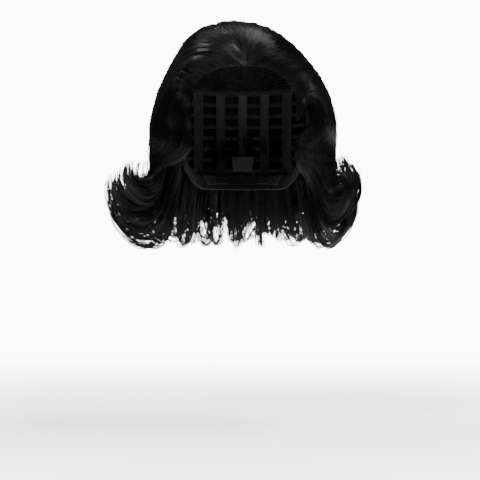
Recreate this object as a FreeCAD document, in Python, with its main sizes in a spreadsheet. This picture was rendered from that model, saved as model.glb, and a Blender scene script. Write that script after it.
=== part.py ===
"""A short flip-styled costume wig: a wefted elastic cap with its hair, tabs and nape adjusters.

Units are millimetres. The origin is the middle of the head that the cap fits, at the height of
the widest head measurement. +Z is up, -Y is the way the face looks, and +X is the wearer's left.

The cap is built in layers over one head form: bands, net and ribbons first, then the weft tapes,
then the hair, whose solids hold the space that the combed hair takes.
"""

import FreeCAD, Part
import math
import os

import Sketcher

FAR = 320.0  # well outside the wig, for regions that have no limit on a side

doc = FreeCAD.newDocument("CostumeWig")
sheet = doc.addObject("Spreadsheet::Sheet", "Sizes")

SIZES = (
    # the head form that the cap fits
    ("head_width", 152),
    ("head_depth", 192),
    ("head_rise", 97),
    ("head_drop", 15),
    # the layers of the cap
    ("fabric", 1.2),
    ("weft_build", 1.4),
    ("root_gap", 0.4),
    ("tease_lift", 9),
    ("tease_height", 45),
    ("tease_front", -35),
    # the outline of the cap
    ("hairline", 47),
    ("band_width", 12),
    ("nape_low", -78),
    ("tab_top", 6),
    ("tab_rear", -10),
    ("nape_front", 30),
    ("net_low", 30),
    ("play", 0.4),
    # ribbons and weft tapes
    ("ribbon_width", 10),
    ("ribbon_pitch", 24.5),
    ("tack_length", 6),
    ("tack_width", 1.4),
    ("weft_low", -58),
    ("weft_pitch", 12),
    ("weft_width", 4),
    ("stay_width", 5),
    ("stay_middle", -33),
    ("stay_low", -26),
    ("stay_inset", 3),
    # the styled hair
    ("hair_width", 200),
    ("hair_depth", 236),
    ("hair_rise", 117),
    ("face_width", 114),
    ("face_corner", 32),
    ("parting", 5),
    ("crown_front", -15),
    ("fall_low", -64),
    ("lock_front", -72),
    ("fall_split", 17),
    ("fall_side", 50),
    # the flipped ends
    ("flip_inner", 74),
    ("flip_low", -148),
    ("flip_tip", -43),
    ("flip_tip_width", 6),
    ("flip_tip_share", 0.32),
    # the nape adjusters
    ("nape_axis", 30),
    ("strap_low", -74),
    ("strap_height", 12),
    ("strap_margin", 1.6),
    ("strap_inset", 1.95),
    ("strap_thickness", 0.9),
    ("hook_margin", 2.2),
    ("hook_inset", 1.25),
    ("hook_thickness", 0.65),
    ("pile_margin", 0.6),
    ("pile_inset", 0.25),
    ("pile_thickness", 0.7),
    ("tunnel_margin", 0.2),
    ("tunnel_inset", 0.6),
    ("tunnel_depth", 3.3),
    ("tunnel_wall", 0.9),
    ("tunnel_room", 1.7),
    # the care label, measured from the foot of the adjusters
    ("label_low", 16),
    ("label_top", 33),
    ("label_inset", 0.5),
    ("label_thickness", 0.4),
)

for row, (alias, value) in enumerate(SIZES, start=1):
    sheet.set(f"A{row}", alias)
    sheet.set(f"B{row}", str(value))
    sheet.setAlias(f"B{row}", alias)
doc.recompute()

S = {alias: float(sheet.get(alias)) for alias, _ in SIZES}
sub_parts = []


def cells(text):
    """An expression with every alias in it read from the sheet."""
    words = []
    for word in text.split():
        words.append(f"Sizes.{word}" if word in S else word)
    return " ".join(words)


def bind(thing, **settings):
    for name, text in settings.items():
        thing.setExpression(name.replace("__", "."), cells(text))
    return thing


def keep(label, thing):
    """Names a finished sub-part, whose label is its file's name."""
    thing.Label = label
    sub_parts.append(thing)
    return thing


# ---- solids that the sub-parts are cut from -------------------------------------------------

def head_form(name, grow):
    """The head form, grown on every side by an expression."""
    form = doc.addObject("Part::Ellipsoid", name)
    bind(
        form,
        Radius1=f"head_rise + {grow}",
        Radius2=f"head_width / 2 + {grow}",
        Radius3=f"head_depth / 2 + {grow}",
        Placement__Base__z="-1 * head_drop",
    )
    return form


def region(name, low, high):
    """A box between two corners, each given as three expressions."""
    block = doc.addObject("Part::Box", name)
    sizes = {
        "Length": f"( {high[0]} ) - ( {low[0]} )",
        "Width": f"( {high[1]} ) - ( {low[1]} )",
        "Height": f"( {high[2]} ) - ( {low[2]} )",
        "Placement__Base__x": low[0],
        "Placement__Base__y": low[1],
        "Placement__Base__z": low[2],
    }
    return bind(block, **sizes)


def cut(name, base, tool):
    made = doc.addObject("Part::Cut", name)
    made.Base, made.Tool = base, tool
    return made


def common(name, base, tool):
    made = doc.addObject("Part::Common", name)
    made.Base, made.Tool = base, tool
    return made


def within(label, base, x=(-FAR, FAR), y=(-FAR, FAR), z=(-FAR, FAR)):
    """The sub-part that is the share of a layer inside a box."""
    low = [str(limits[0]) for limits in (x, y, z)]
    high = [str(limits[1]) for limits in (x, y, z)]
    block = region(f"{label}_region", low, high)
    return keep(label, common(f"{label}_solid", base, block))


def outline(name, points, corners):
    """A flat face whose one side is a smooth curve through points and the rest runs by corners."""
    curve = Part.BSplineCurve()
    curve.interpolate([FreeCAD.Vector(*p) for p in points])
    rest = [FreeCAD.Vector(*p) for p in (points[-1], *corners, points[0])]
    edges = [curve.toShape()] + [Part.LineSegment(a, b).toShape() for a, b in zip(rest, rest[1:])]
    face = doc.addObject("Part::Feature", name)
    face.Shape = Part.Face(Part.Wire(edges))
    return face


def through(name, face, direction, forward=FAR, backward=FAR):
    """A flat face carried along a direction both ways."""
    made = doc.addObject("Part::Extrusion", name)
    made.Base = face
    made.DirMode = "Custom"
    made.Dir = direction
    made.LengthFwd, made.LengthRev = forward, backward
    made.Solid = True
    return made


skin = head_form("head", "0")
fabric_out = head_form("fabric_outside", "fabric")
weft_out = head_form("weft_outside", "fabric + weft_build")
root = head_form("root_surface", "fabric + weft_build + root_gap")
tease_out = head_form("tease_outside", "fabric + weft_build + root_gap + tease_lift")
tease_clear = head_form("tease_clearance", "fabric + weft_build + 2 * root_gap + tease_lift")

hair_out = doc.addObject("Part::Ellipsoid", "hair_outside")
bind(
    hair_out,
    Radius1="hair_rise",
    Radius2="hair_width / 2",
    Radius3="hair_depth / 2",
    Placement__Base__z="-1 * head_drop",
)


def side_view(*points):
    return [(0.0, y, z) for y, z in points]


def side_outline(name, edge):
    """What lies above and behind an edge that runs from the hairline to the nape, from the side."""
    hairline, nape = edge[0][1], edge[-1][1]
    far = side_view((FAR, nape), (FAR, FAR), (-FAR, FAR), (-FAR, hairline))
    return through(f"{name}_in_side_view", outline(name, side_view(*edge), far), (1, 0, 0))


# The cap's edge: hairline, temple, ear tab, ear arch and nape.
CAP_EDGE = (
    (-76, S["hairline"]),
    (-58, 37),
    (-46, 10),
    (-43, -18),
    (-34, -29),
    (-23, -20),
    (-12, 3),
    (2, 9),
    (14, 0),
    (27, -36),
    (38, S["nape_low"] + 7),
    (54, S["nape_low"]),
)
# Where the bands end and the net and ribbons begin.
FIELD_EDGE = (
    (-70, S["hairline"] + S["band_width"]),
    (-48, 46),
    (-32, 23),
    (2, 21),
    (24, 12),
    (38, -30),
    (52, S["nape_low"] + S["band_width"] + 4),
    (64, S["nape_low"] + S["band_width"] + 2),
)
cap_side = side_outline("cap_edge", CAP_EDGE)
field_side = side_outline("field_edge", FIELD_EDGE)


# ---- the cap: bands, net and ribbons --------------------------------------------------------

fabric_layer = cut("fabric_layer", fabric_out, skin)
cap_fabric = common("cap_fabric", fabric_layer, cap_side)
rim = cut("rim", cap_fabric, field_side)
field = common("field", cap_fabric, field_side)

SIDES = (("left", 1), ("right", -1))


def side_limits(sign, inner="0", outer=FAR):
    """The x limits of a region on one side of the wig."""
    return (inner, outer) if sign > 0 else (-outer, f"-1 * ( {inner} )")


def front_panel(label, base):
    """The share of a layer's rim over the brow and the temples."""
    return within(label, base, y=(-FAR, "tab_rear"), z=("tab_top", FAR))


def build_cap():
    front_panel("front_band", rim)
    within("nape_band", rim, y=("nape_front", FAR))
    within("crown_net", field, z=("net_low", FAR))
    for side, sign in SIDES:
        x = side_limits(sign)
        within(f"side_band_{side}", rim, x=x, y=("tab_rear", "nape_front"))
        within(
            f"ear_tab_{side}",
            rim,
            x=x,
            y=(-FAR, "tab_rear - play"),
            z=(-FAR, "tab_top - play"),
        )
        within(
            f"side_ribbon_{side}",
            field,
            x=x,
            y=("ribbon_width / -2", "ribbon_width / 2"),
            z=(-FAR, "net_low"),
        )
        for count, place in ((1, "inner"), (2, "outer")):
            middle = f"{count} * ribbon_pitch"
            x = (f"{middle} - ribbon_width / 2", f"{middle} + ribbon_width / 2")
            if sign < 0:
                x = (f"-1 * ( {x[1]} )", f"-1 * ( {x[0]} )")
            within(f"back_ribbon_{side}_{place}", field, x=x, y=(0, FAR), z=(-FAR, "net_low"))
    x = ("ribbon_width / -2", "ribbon_width / 2")
    within("back_ribbon_centre", field, x=x, y=(0, FAR), z=(-FAR, "net_low"))


build_cap()


# ---- weft tapes and tab stays, the second layer ---------------------------------------------

weft_layer = cut("weft_layer", weft_out, fabric_out)
weft_cap = common("weft_cap", weft_layer, cap_side)
weft_field = common("weft_field", weft_layer, field_side)
weft_rim = cut("weft_rim", weft_cap, field_side)

WEFT_ROWS = 8


def build_wefts():
    front_panel("hairline_weft", weft_rim)
    for row in range(WEFT_ROWS):
        low = f"weft_low + {row} * weft_pitch"
        within(f"weft_row_{row + 1}", weft_field, z=(low, f"{low} + weft_width"))
    for side, sign in SIDES:
        within(
            f"ear_tab_stay_{side}",
            weft_rim,
            x=side_limits(sign),
            y=("stay_middle - stay_width / 2", "stay_middle + stay_width / 2"),
            z=("stay_low", "tab_top - stay_inset"),
        )


build_wefts()


# ---- hair: the teased pad, the dome and the hanging falls -----------------------------------

def arch_points():
    """The face opening seen from the front: straight sides, round upper corners."""
    half = S["face_width"] / 2
    top = S["hairline"]
    corner = S["face_corner"]
    slant = corner * (1 - math.sqrt(0.5))
    return (
        FreeCAD.Vector(-half, 0, -FAR),
        FreeCAD.Vector(-half, 0, top - corner),
        FreeCAD.Vector(-half + slant, 0, top - slant),
        FreeCAD.Vector(-half + corner, 0, top),
    )


def face_arch():
    foot, shoulder, bend, brow = arch_points()
    flip = lambda p: FreeCAD.Vector(-p.x, p.y, p.z)
    edges = [
        Part.LineSegment(foot, shoulder),
        Part.Arc(shoulder, bend, brow),
        Part.LineSegment(brow, flip(brow)),
        Part.Arc(flip(brow), flip(bend), flip(shoulder)),
        Part.LineSegment(flip(shoulder), flip(foot)),
        Part.LineSegment(flip(foot), foot),
    ]
    face = doc.addObject("Part::Feature", "face_arch")
    face.Shape = Part.Face(Part.Wire([edge.toShape() for edge in edges]))
    return face


face_tunnel = through("face_tunnel", face_arch(), (0, -1, 0), backward=0.0)

tease_layer = cut("tease_layer", tease_out, root)
within("teased_pad", tease_layer, y=("tease_front", FAR), z=("tease_height", FAR))

tease_room = common(
    "tease_room",
    tease_clear,
    region(
        "tease_room_region",
        (str(-FAR), "tease_front - play", "tease_height - play"),
        (str(FAR), str(FAR), str(FAR)),
    ),
)
dome_layer = cut("dome_layer", hair_out, root)
dome_over_pad = cut("dome_over_pad", dome_layer, tease_room)
dome = cut("dome", dome_over_pad, face_tunnel)

fall_outline = doc.addObject("Part::Ellipse", "fall_outline")
bind(
    fall_outline,
    MajorRadius="hair_depth / 2",
    MinorRadius="hair_width / 2",
    Placement__Base__z="-1 * head_drop",
)
fall_outline.Placement.Rotation = FreeCAD.Rotation(FreeCAD.Vector(0, 0, 1), 90)
fall_block = doc.addObject("Part::Extrusion", "fall_block")
fall_block.Base = fall_outline
fall_block.DirMode = "Custom"
fall_block.Dir = (0, 0, -1)
fall_block.Solid = True
bind(fall_block, LengthFwd="-1 * fall_low - head_drop")
fall_layer = cut("fall_layer", fall_block, root)
falls = cut("falls", fall_layer, face_tunnel)


def build_dome():
    dome_low = "-1 * head_drop"
    half = "face_width / 2"
    across = (f"-1 * {half}", half)
    within(
        "hair_front_right",
        dome,
        x=(across[0], "parting"),
        y=(-FAR, "crown_front"),
        z=(dome_low, FAR),
    )
    within(
        "hair_front_left",
        dome,
        x=("parting", across[1]),
        y=(-FAR, "crown_front"),
        z=(dome_low, FAR),
    )
    within("hair_crown", dome, x=across, y=("crown_front", FAR), z=("tease_height", FAR))
    within(
        "hair_back_upper",
        dome,
        x=across,
        y=("crown_front", FAR),
        z=(dome_low, "tease_height"),
    )
    for side, sign in SIDES:
        within(f"hair_temple_{side}", dome, x=side_limits(sign, half), z=(dome_low, FAR))


def build_falls():
    """The middle of the hair, where it hangs. The locks beside the face swing on their own."""
    for side, sign in SIDES:
        within(
            f"side_lock_{side}",
            falls,
            x=side_limits(sign, "face_width / 2"),
            y=("lock_front", "-1 * play"),
            z=(-FAR, "-1 * head_drop - play"),
        )
        within(f"side_fall_{side}", falls, x=side_limits(sign, "fall_side"), y=(0, FAR))
        middle = ("fall_split", "fall_side")
        if sign < 0:
            middle = ("-1 * fall_side", "-1 * fall_split")
        within(f"back_fall_{side}", falls, x=middle, y=(0, FAR))
    within("back_fall_centre", falls, x=("-1 * fall_split", "fall_split"), y=(0, FAR))


build_dome()
build_falls()


# ---- the flipped ends, a ring of sectors under the falls ------------------------------------

FLIPS = (
    # name, first and last bearing from +X in degrees, how far it reaches out, how low it hangs
    ("flip_left_front", -30, 0, 130, 0.94),
    ("flip_left_side", 0, 38, 128, 0.96),
    ("flip_back_left", 38, 75, 122, 1.0),
    ("flip_back_centre", 75, 105, 121, 1.0),
    ("flip_back_right", 105, 142, 126, 1.0),
    ("flip_right_side", 142, 180, 140, 0.98),
    ("flip_right_front", 180, 210, 150, 0.96),
)
SECTOR_GAP = 0.4  # degrees between neighbouring sectors


def flip_profile(reach, hang):
    """A hanging fan of hair in the plane of a bearing: down, out and up to its tips."""
    top = S["fall_low"] - S["play"]
    low = S["flip_low"] * hang
    inner = S["flip_inner"]
    outer = S["hair_width"] / 2
    tip = outer + (reach - outer) * S["flip_tip_share"]
    bend = (tip - outer) / 2
    point = lambda r, z: FreeCAD.Vector(r, 0, z)
    neck = point(outer, top)
    rise = point(tip, top + bend)
    tip_in = point(tip + bend / 2, S["flip_tip"])
    tip_out = tip_in + FreeCAD.Vector(S["flip_tip_width"], 0, 0)
    foot = point(inner + 12, low)
    back = point(inner, top)
    edges = [
        Part.LineSegment(back, neck),
        Part.Arc(neck, point(outer + bend, top - bend / 2), rise),
        Part.LineSegment(rise, tip_in),
        Part.LineSegment(tip_in, tip_out),
        Part.Arc(tip_out, point(reach, (S["flip_tip"] + low) / 2), foot),
        Part.Arc(foot, point(inner - 6, (top + low) / 2), back),
    ]
    return Part.Face(Part.Wire([edge.toShape() for edge in edges]))


def build_flips():
    to_oval = FreeCAD.Matrix()
    to_oval.scale(1, S["hair_depth"] / S["hair_width"], 1)
    up = FreeCAD.Vector(0, 0, 1)
    for name, first, last, reach, hang in FLIPS:
        face = flip_profile(reach, hang)
        face.rotate(FreeCAD.Vector(), up, first + SECTOR_GAP / 2)
        ring = face.revolve(FreeCAD.Vector(), up, last - first - SECTOR_GAP)
        flip = doc.addObject("Part::Feature", f"{name}_solid")
        flip.Shape = ring.transformGeometry(to_oval)
        keep(name, flip)


build_flips()


# ---- the nape adjusters, on arcs about one upright axis -------------------------------------

def nape_radius(height):
    """How far the middle of the nape is from the adjusters' axis, at a height above their foot."""
    level = f"( strap_low + {height} + head_drop ) / head_rise"
    return f"head_depth / 2 * sqrt( 1 - ( {level} ) ^ 2 ) - nape_axis"


def quad(sketch, name, low, top, inset, depth):
    """A slanted strip in a sketch whose X is the radius and Y the height: two insets from the cap."""
    corners = (
        ("low_out", f"{nape_radius(low)} - ( {inset} )", low),
        ("top_out", f"{nape_radius(top)} - ( {inset} )", top),
        ("top_in", f"{nape_radius(top)} - ( {inset} ) - {depth}", top),
        ("low_in", f"{nape_radius(low)} - ( {inset} ) - {depth}", low),
    )
    start = ((46, 1), (54, 11), (52, 11), (44, 1))
    places = [FreeCAD.Vector(x, y, 0) for x, y in start]
    first = len(sketch.Geometry)
    for a, b in zip(places, places[1:] + places[:1]):
        sketch.addGeometry(Part.LineSegment(a, b), False)
    for step in range(4):
        line, following = first + step, first + (step + 1) % 4
        sketch.addConstraint(Sketcher.Constraint("Coincident", line, 2, following, 1))
    for step, (corner, radius, height) in enumerate(corners):
        line = first + step
        for kind, word, text in (("DistanceX", "radius", radius), ("DistanceY", "height", height)):
            number = sketch.addConstraint(Sketcher.Constraint(kind, -1, 1, line, 1, 1.0 + step))
            sketch.renameConstraint(number, f"{name}_{corner}_{word}")
            bind(sketch, **{f"Constraints__{name}_{corner}_{word}": text})


def band_loop(kind, depth):
    """The section of a nape strip whose margin and inset are named after its kind."""
    margin = f"{kind}_margin"
    return margin, f"strap_height - {margin}", f"{kind}_inset", depth


def nape_strip(label, bearing, span, loops):
    """A strip that follows the nape: its section is turned through span degrees from a bearing."""
    body = doc.addObject("PartDesign::Body", f"{label}_body")
    sketch = body.newObject("Sketcher::SketchObject", f"{label}_section")
    plane = [f for f in body.Origin.OriginFeatures if f.Role == "XZ_Plane"][0]
    sketch.AttachmentSupport = [(plane, "")]
    sketch.MapMode = "FlatFace"
    for number, (low, top, inset, depth) in enumerate(loops):
        quad(sketch, f"loop{number}", low, top, inset, depth)
    doc.recompute()
    turned = body.newObject("PartDesign::Revolution", f"{label}_turned")
    turned.Profile = sketch
    turned.ReferenceAxis = (sketch, ["V_Axis"])
    turned.Angle = span
    body.Placement.Rotation = FreeCAD.Rotation(FreeCAD.Vector(0, 0, 1), bearing)
    bind(body, Placement__Base__y="nape_axis", Placement__Base__z="strap_low")
    return keep(label, body)


# Bearings from the middle of the back, in degrees.
TAB_REST = 20  # a strap's free end
STRAP_END = 62
TAB_SPAN = 16
TUNNEL = (43, 64)
PILE = (4, 36)
LABEL = (-12, 12)


def build_adjusters():
    for side, sign in SIDES:
        # a bearing from the middle of the back becomes one from +X
        start = lambda near, far: 90 - far if sign > 0 else 90 + near
        nape_strip(
            f"adjuster_strap_{side}",
            start(TAB_REST, STRAP_END),
            STRAP_END - TAB_REST,
            [band_loop("strap", "strap_thickness")],
        )
        nape_strip(
            f"hook_patch_{side}",
            start(TAB_REST, TAB_REST + TAB_SPAN),
            TAB_SPAN,
            [band_loop("hook", "hook_thickness")],
        )
        nape_strip(
            f"pile_tape_{side}",
            start(*PILE),
            PILE[1] - PILE[0],
            [band_loop("pile", "pile_thickness")],
        )
        nape_strip(
            f"strap_tunnel_{side}",
            start(*TUNNEL),
            TUNNEL[1] - TUNNEL[0],
            [
                band_loop("tunnel", "tunnel_depth"),
                (
                    "tunnel_margin + tunnel_wall",
                    "strap_height - tunnel_margin - tunnel_wall",
                    "tunnel_inset + tunnel_wall",
                    "tunnel_room",
                ),
            ],
        )


def build_label():
    """A plain care label, sewn over the middle ribbon above the adjusters."""
    nape_strip(
        "care_label",
        90 + LABEL[0],
        LABEL[1] - LABEL[0],
        [("label_low", "label_top", "label_inset", "label_thickness")],
    )


build_adjusters()
build_label()


# ---- thread tacks ---------------------------------------------------------------------------

def build_tacks():
    """Bar tacks inside the cap where the back ribbons meet the net, as one group."""
    layer = cut("tack_layer", head_form("tack_outside", "-0.15"), head_form("tack_inside", "-1.15"))
    tacks = doc.addObject("Part::Compound", "bar_tacks_group")
    tacks.Links = [
        common(
            f"bar_tack_{count + 3}",
            layer,
            region(
                f"bar_tack_{count + 3}_region",
                (f"{count} * ribbon_pitch - tack_length / 2", "0", "net_low - tack_width / 2"),
                (f"{count} * ribbon_pitch + tack_length / 2", str(FAR), "net_low + tack_width / 2"),
            ),
        )
        for count in (-2, -1, 0, 1, 2)
    ]
    keep("bar_tacks", tacks)


build_tacks()

doc.recompute()


# ---- checks and export ----------------------------------------------------------------------

def check_and_export():
    for thing in doc.Objects:
        faults = {"Invalid", "Error"} & set(thing.State)
        if faults:
            raise RuntimeError(f"{thing.Label} is {sorted(faults)}")
    os.makedirs("parts", exist_ok=True)
    for old in os.listdir("parts"):
        if old.endswith(".step"):
            os.remove(os.path.join("parts", old))
    for part in sub_parts:
        shape = part.Shape
        if shape.isNull() or not shape.isValid() or not shape.Solids:
            raise RuntimeError(f"{part.Label} has no valid solid")
        shape.exportStep(f"parts/{part.Label}.step")
        box = shape.optimalBoundingBox(False, False)
        print(
            f"{part.Label:24s} {len(shape.Solids)} solid(s) {shape.Volume / 1000:8.2f} cm3",
            f"x {box.XMin:.1f}..{box.XMax:.1f} y {box.YMin:.1f}..{box.YMax:.1f}",
            f"z {box.ZMin:.1f}..{box.ZMax:.1f}",
        )
    print(len(sub_parts), "sub-parts")


check_and_export()
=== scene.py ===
"""A short black costume wig: combed-back hair with flipped ends on a wefted elastic cap.

Places are worked out in millimetres in the frame of the head that the cap fits, and become metres
as each mesh is made. The hair is laid as locks: each lock is one smooth path, and its strands
spread about that path, close up towards the tip and wander a little.
"""

import math

import bmesh
import bpy
import numpy as np
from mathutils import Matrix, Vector


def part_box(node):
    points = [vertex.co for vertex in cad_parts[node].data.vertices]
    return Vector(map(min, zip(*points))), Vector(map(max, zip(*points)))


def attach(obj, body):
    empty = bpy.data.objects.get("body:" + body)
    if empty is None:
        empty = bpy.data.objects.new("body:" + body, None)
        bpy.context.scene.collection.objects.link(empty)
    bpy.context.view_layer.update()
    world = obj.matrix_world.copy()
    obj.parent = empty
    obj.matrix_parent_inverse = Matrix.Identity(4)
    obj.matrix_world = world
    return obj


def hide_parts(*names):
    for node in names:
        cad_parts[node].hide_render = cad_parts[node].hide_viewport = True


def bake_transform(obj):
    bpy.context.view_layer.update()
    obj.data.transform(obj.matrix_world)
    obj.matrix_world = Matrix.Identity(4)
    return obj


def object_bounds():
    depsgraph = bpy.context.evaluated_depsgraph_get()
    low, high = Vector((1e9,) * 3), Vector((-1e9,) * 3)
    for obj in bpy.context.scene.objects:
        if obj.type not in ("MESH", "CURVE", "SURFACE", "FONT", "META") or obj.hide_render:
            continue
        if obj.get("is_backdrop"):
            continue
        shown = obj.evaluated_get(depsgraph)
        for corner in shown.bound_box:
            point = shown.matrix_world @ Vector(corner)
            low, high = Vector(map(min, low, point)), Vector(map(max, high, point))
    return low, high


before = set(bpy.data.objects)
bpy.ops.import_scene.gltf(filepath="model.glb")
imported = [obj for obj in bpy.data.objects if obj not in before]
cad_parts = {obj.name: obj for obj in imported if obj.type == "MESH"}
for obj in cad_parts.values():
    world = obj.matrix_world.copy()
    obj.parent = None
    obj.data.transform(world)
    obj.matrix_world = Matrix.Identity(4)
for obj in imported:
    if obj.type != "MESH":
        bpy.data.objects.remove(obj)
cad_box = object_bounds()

MM = 0.001
# Each strand's shade is a random tone with painted highlight in the lighter locks and tress crests and
# painted shade at the tress edges.
TONE_AND_PAINTED_LIGHT = "lock_tone_and_painted_light"  # the attribute that carries each strand's shade
rng = np.random.default_rng(7)


# ---- the frame's sizes, in millimetres -------------------------------------------------------

def node_box(node):
    low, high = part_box(node)
    return np.array(low) / MM, np.array(high) / MM


DOME_LOW = node_box("hair_back_upper")[0][2]
HAIR = np.array([
    node_box("hair_temple_left")[1][0],
    node_box("hair_back_upper")[1][1],
    node_box("hair_crown")[1][2] - DOME_LOW,
])
CENTRE = np.array([0.0, 0.0, DOME_LOW])
HEAD = np.array([76.0, 96.0, 97.0])  # the head form's half width, half depth and rise
FACE_HALF = node_box("hair_front_left")[1][0]
HAIRLINE = 47.0  # the height of the face opening's top
DEEPER = HAIR[1] / HAIR[0]  # how much deeper than wide the hair is in plan
PARTING = 5.0  # how far the swirl at the brow is to the wearer's left
SIDES = ((1, "left"), (-1, "right"))
FROM_RIGHT = SIDES[::-1]  # the order in which the hair is laid


# ---- materials -------------------------------------------------------------------------------

def new_material(name, **sockets):
    """A Principled material. Each socket's name has spaces for its underscores."""
    made = bpy.data.materials.new(name)
    made.use_nodes = True
    shader = made.node_tree.nodes["Principled BSDF"]
    for socket, value in sockets.items():
        shader.inputs[socket.replace("_", " ")].default_value = value
    return made


def add_node(material, kind, **settings):
    node = material.node_tree.nodes.new(kind)
    for key, value in settings.items():
        if key in node.inputs:
            node.inputs[key].default_value = value
        else:
            setattr(node, key, value)
    return node


def link(material, source, target):
    material.node_tree.links.new(source, target)


def shader_of(material):
    return material.node_tree.nodes["Principled BSDF"]


def fibre(name, dark, light, roughness, shine=0.5):
    """Glossy fibre whose shade differs a little from strand to strand and from patch to patch."""
    made = new_material(name, Roughness=roughness, Specular_IOR_Level=shine)
    strand = add_node(made, "ShaderNodeNewGeometry")
    place = add_node(made, "ShaderNodeTexCoord")
    patch = add_node(made, "ShaderNodeTexNoise", Scale=38.0, Detail=3.0)
    link(made, place.outputs["Object"], patch.inputs["Vector"])
    both = add_node(made, "ShaderNodeMath", operation="MULTIPLY")
    link(made, strand.outputs["Random Per Island"], both.inputs[0])
    link(made, patch.outputs["Fac"], both.inputs[1])
    shade = add_node(made, "ShaderNodeValToRGB")
    shade.color_ramp.elements[0].color = (*dark, 1)
    shade.color_ramp.elements[1].color = (*light, 1)
    shade.color_ramp.elements[1].position = 0.75
    link(made, both.outputs[0], shade.inputs["Fac"])
    link(made, shade.outputs["Color"], shader_of(made).inputs["Base Color"])
    return made


def lock_fibre(name, dark, middle, light, roughness, shine):
    """Hair fibre toned lock by lock from the shade that each strand carries: the lighter locks are
    painted highlight and the darker tress edges painted shade, over a random tone.
    """
    made = new_material(name, Roughness=roughness, Specular_IOR_Level=shine)
    carried = add_node(made, "ShaderNodeAttribute", attribute_name=TONE_AND_PAINTED_LIGHT)
    place = add_node(made, "ShaderNodeTexCoord")
    patch = add_node(made, "ShaderNodeTexNoise", Scale=30.0, Detail=3.0)
    link(made, place.outputs["Object"], patch.inputs["Vector"])
    both = add_node(made, "ShaderNodeMath", operation="MULTIPLY")
    link(made, carried.outputs["Fac"], both.inputs[0])
    link(made, patch.outputs["Fac"], both.inputs[1])
    shade = add_node(made, "ShaderNodeValToRGB")
    ramp = shade.color_ramp
    ramp.elements[0].color = (*dark, 1)
    ramp.elements[1].color = (*light, 1)
    ramp.elements[1].position = 0.6
    ramp.elements.new(0.25).color = (*middle, 1)
    link(made, both.outputs[0], shade.inputs["Fac"])
    link(made, shade.outputs["Color"], shader_of(made).inputs["Base Color"])
    return made


# The light end of the ramp paints highlight streaks into the locks that carry a high shade; the dark
# end paints the shade of the grooves.
HAIR_BLACK = lock_fibre(
    "hair_black", (0.0008, 0.0007, 0.0006), (0.003, 0.0026, 0.0023), (0.020, 0.0175, 0.0155), 0.34, 0.22
)
HAIR_CORE = fibre("hair_core", (0.0008, 0.0007, 0.0006), (0.002, 0.0018, 0.0016), 0.7, 0.15)


def woven(name, colour, roughness, threads, depth=0.35, shine=0.3, sheen=0.25):
    """Woven cloth: crossed threads across the piece's own UV map, uneven in tone from patch to patch,
    and darker where the threads sink, which is painted shade between the threads.
    """
    made = new_material(
        name, Roughness=roughness, Specular_IOR_Level=shine, Sheen_Weight=sheen, Sheen_Roughness=0.5
    )
    place = add_node(made, "ShaderNodeTexCoord")
    waves = []
    for direction, count in zip(("X", "Y"), threads):
        thread = add_node(made, "ShaderNodeTexWave", wave_type="BANDS", bands_direction=direction)
        thread.inputs["Scale"].default_value = count
        thread.inputs["Distortion"].default_value = 0.4
        link(made, place.outputs["UV"], thread.inputs["Vector"])
        waves.append(thread)
    both = add_node(made, "ShaderNodeMath", operation="MAXIMUM")
    link(made, waves[0].outputs["Fac"], both.inputs[0])
    link(made, waves[1].outputs["Fac"], both.inputs[1])
    raised = add_node(made, "ShaderNodeBump", Strength=depth, Distance=0.0003)
    link(made, both.outputs[0], raised.inputs["Height"])
    link(made, raised.outputs["Normal"], shader_of(made).inputs["Normal"])
    patch = add_node(made, "ShaderNodeTexNoise", Scale=160.0, Detail=4.0)
    link(made, place.outputs["Object"], patch.inputs["Vector"])
    # The colour follows the threads' height: darker where they sink, as painted shade between the
    # threads, and patchy at random.
    shade = add_node(made, "ShaderNodeMath", operation="MULTIPLY_ADD")
    link(made, patch.outputs["Fac"], shade.inputs[0])
    shade.inputs[1].default_value = 0.5
    link(made, both.outputs[0], shade.inputs[2])
    tint = add_node(made, "ShaderNodeValToRGB")
    tint.color_ramp.elements[0].color = (*(0.45 * part for part in colour), 1)
    tint.color_ramp.elements[1].color = (*colour, 1)
    tint.color_ramp.elements[1].position = 1.0
    link(made, shade.outputs[0], tint.inputs["Fac"])
    link(made, tint.outputs["Color"], shader_of(made).inputs["Base Color"])
    return made


def moulded(name, colour, roughness):
    """Plastic with a faint grain."""
    made = new_material(name, Roughness=roughness, Specular_IOR_Level=0.45)
    place = add_node(made, "ShaderNodeTexCoord")
    grain = add_node(made, "ShaderNodeTexNoise", Scale=900.0, Detail=2.0)
    link(made, place.outputs["Object"], grain.inputs["Vector"])
    raised = add_node(made, "ShaderNodeBump", Strength=0.2, Distance=0.0001)
    link(made, grain.outputs["Fac"], raised.inputs["Height"])
    link(made, raised.outputs["Normal"], shader_of(made).inputs["Normal"])
    tint = add_node(made, "ShaderNodeValToRGB")
    tint.color_ramp.elements[0].color = (*(0.7 * part for part in colour), 1)
    tint.color_ramp.elements[1].color = (*colour, 1)
    link(made, grain.outputs["Fac"], tint.inputs["Fac"])
    link(made, tint.outputs["Color"], shader_of(made).inputs["Base Color"])
    return made


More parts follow.
